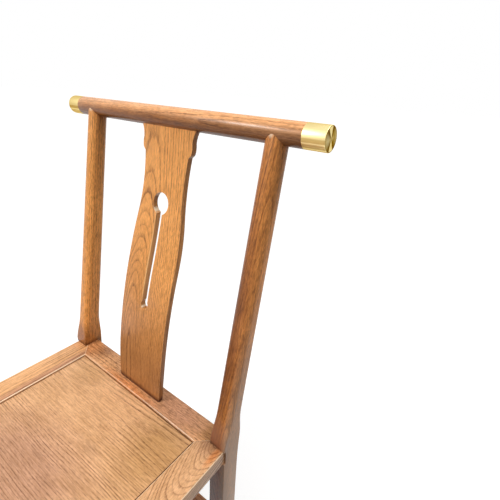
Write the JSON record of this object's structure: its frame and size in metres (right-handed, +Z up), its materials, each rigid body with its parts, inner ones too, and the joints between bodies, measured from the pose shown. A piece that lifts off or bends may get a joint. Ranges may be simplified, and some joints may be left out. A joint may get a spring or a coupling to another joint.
{
  "type": "chair",
  "caption": "Armless official-hat side chair: square legs with leaning rounded posts, pierced S-curved splat, mitred frame seat with floating panel, straight crest rail capped in brass.",
  "frame": {"origin": "on the floor, under the middle of the chair's bounding box", "axes": "+Z up, -Y towards the front of the seat, +X to the right of someone who looks at the chair's front"},
  "size_m": [0.574, 0.527, 0.981],
  "materials": {
    "stained_ash": "warm honey-brown stain under a satin lacquer, open grain",
    "brass": "turned and polished"
  },
  "bodies": {
    "root": {"crest_rail": "stained_ash", "brass_cap_left": "brass", "brass_cap_right": "brass", "rear_leg_left": "stained_ash", "rear_leg_right": "stained_ash", "back_splat": "stained_ash", "seat_rail_back": "stained_ash", "seat_rail_front": "stained_ash", "seat_rail_left": "stained_ash", "seat_rail_right": "stained_ash", "seat_panel": "stained_ash", "seat_batten_left": "stained_ash", "seat_batten_right": "stained_ash", "front_leg_left": "stained_ash", "front_leg_right": "stained_ash", "apron_front": "stained_ash", "footrest_stretcher": "stained_ash", "stretcher_left": "stained_ash", "stretcher_right": "stained_ash", "stretcher_back": "stained_ash"}
  },
  "joints": []
}
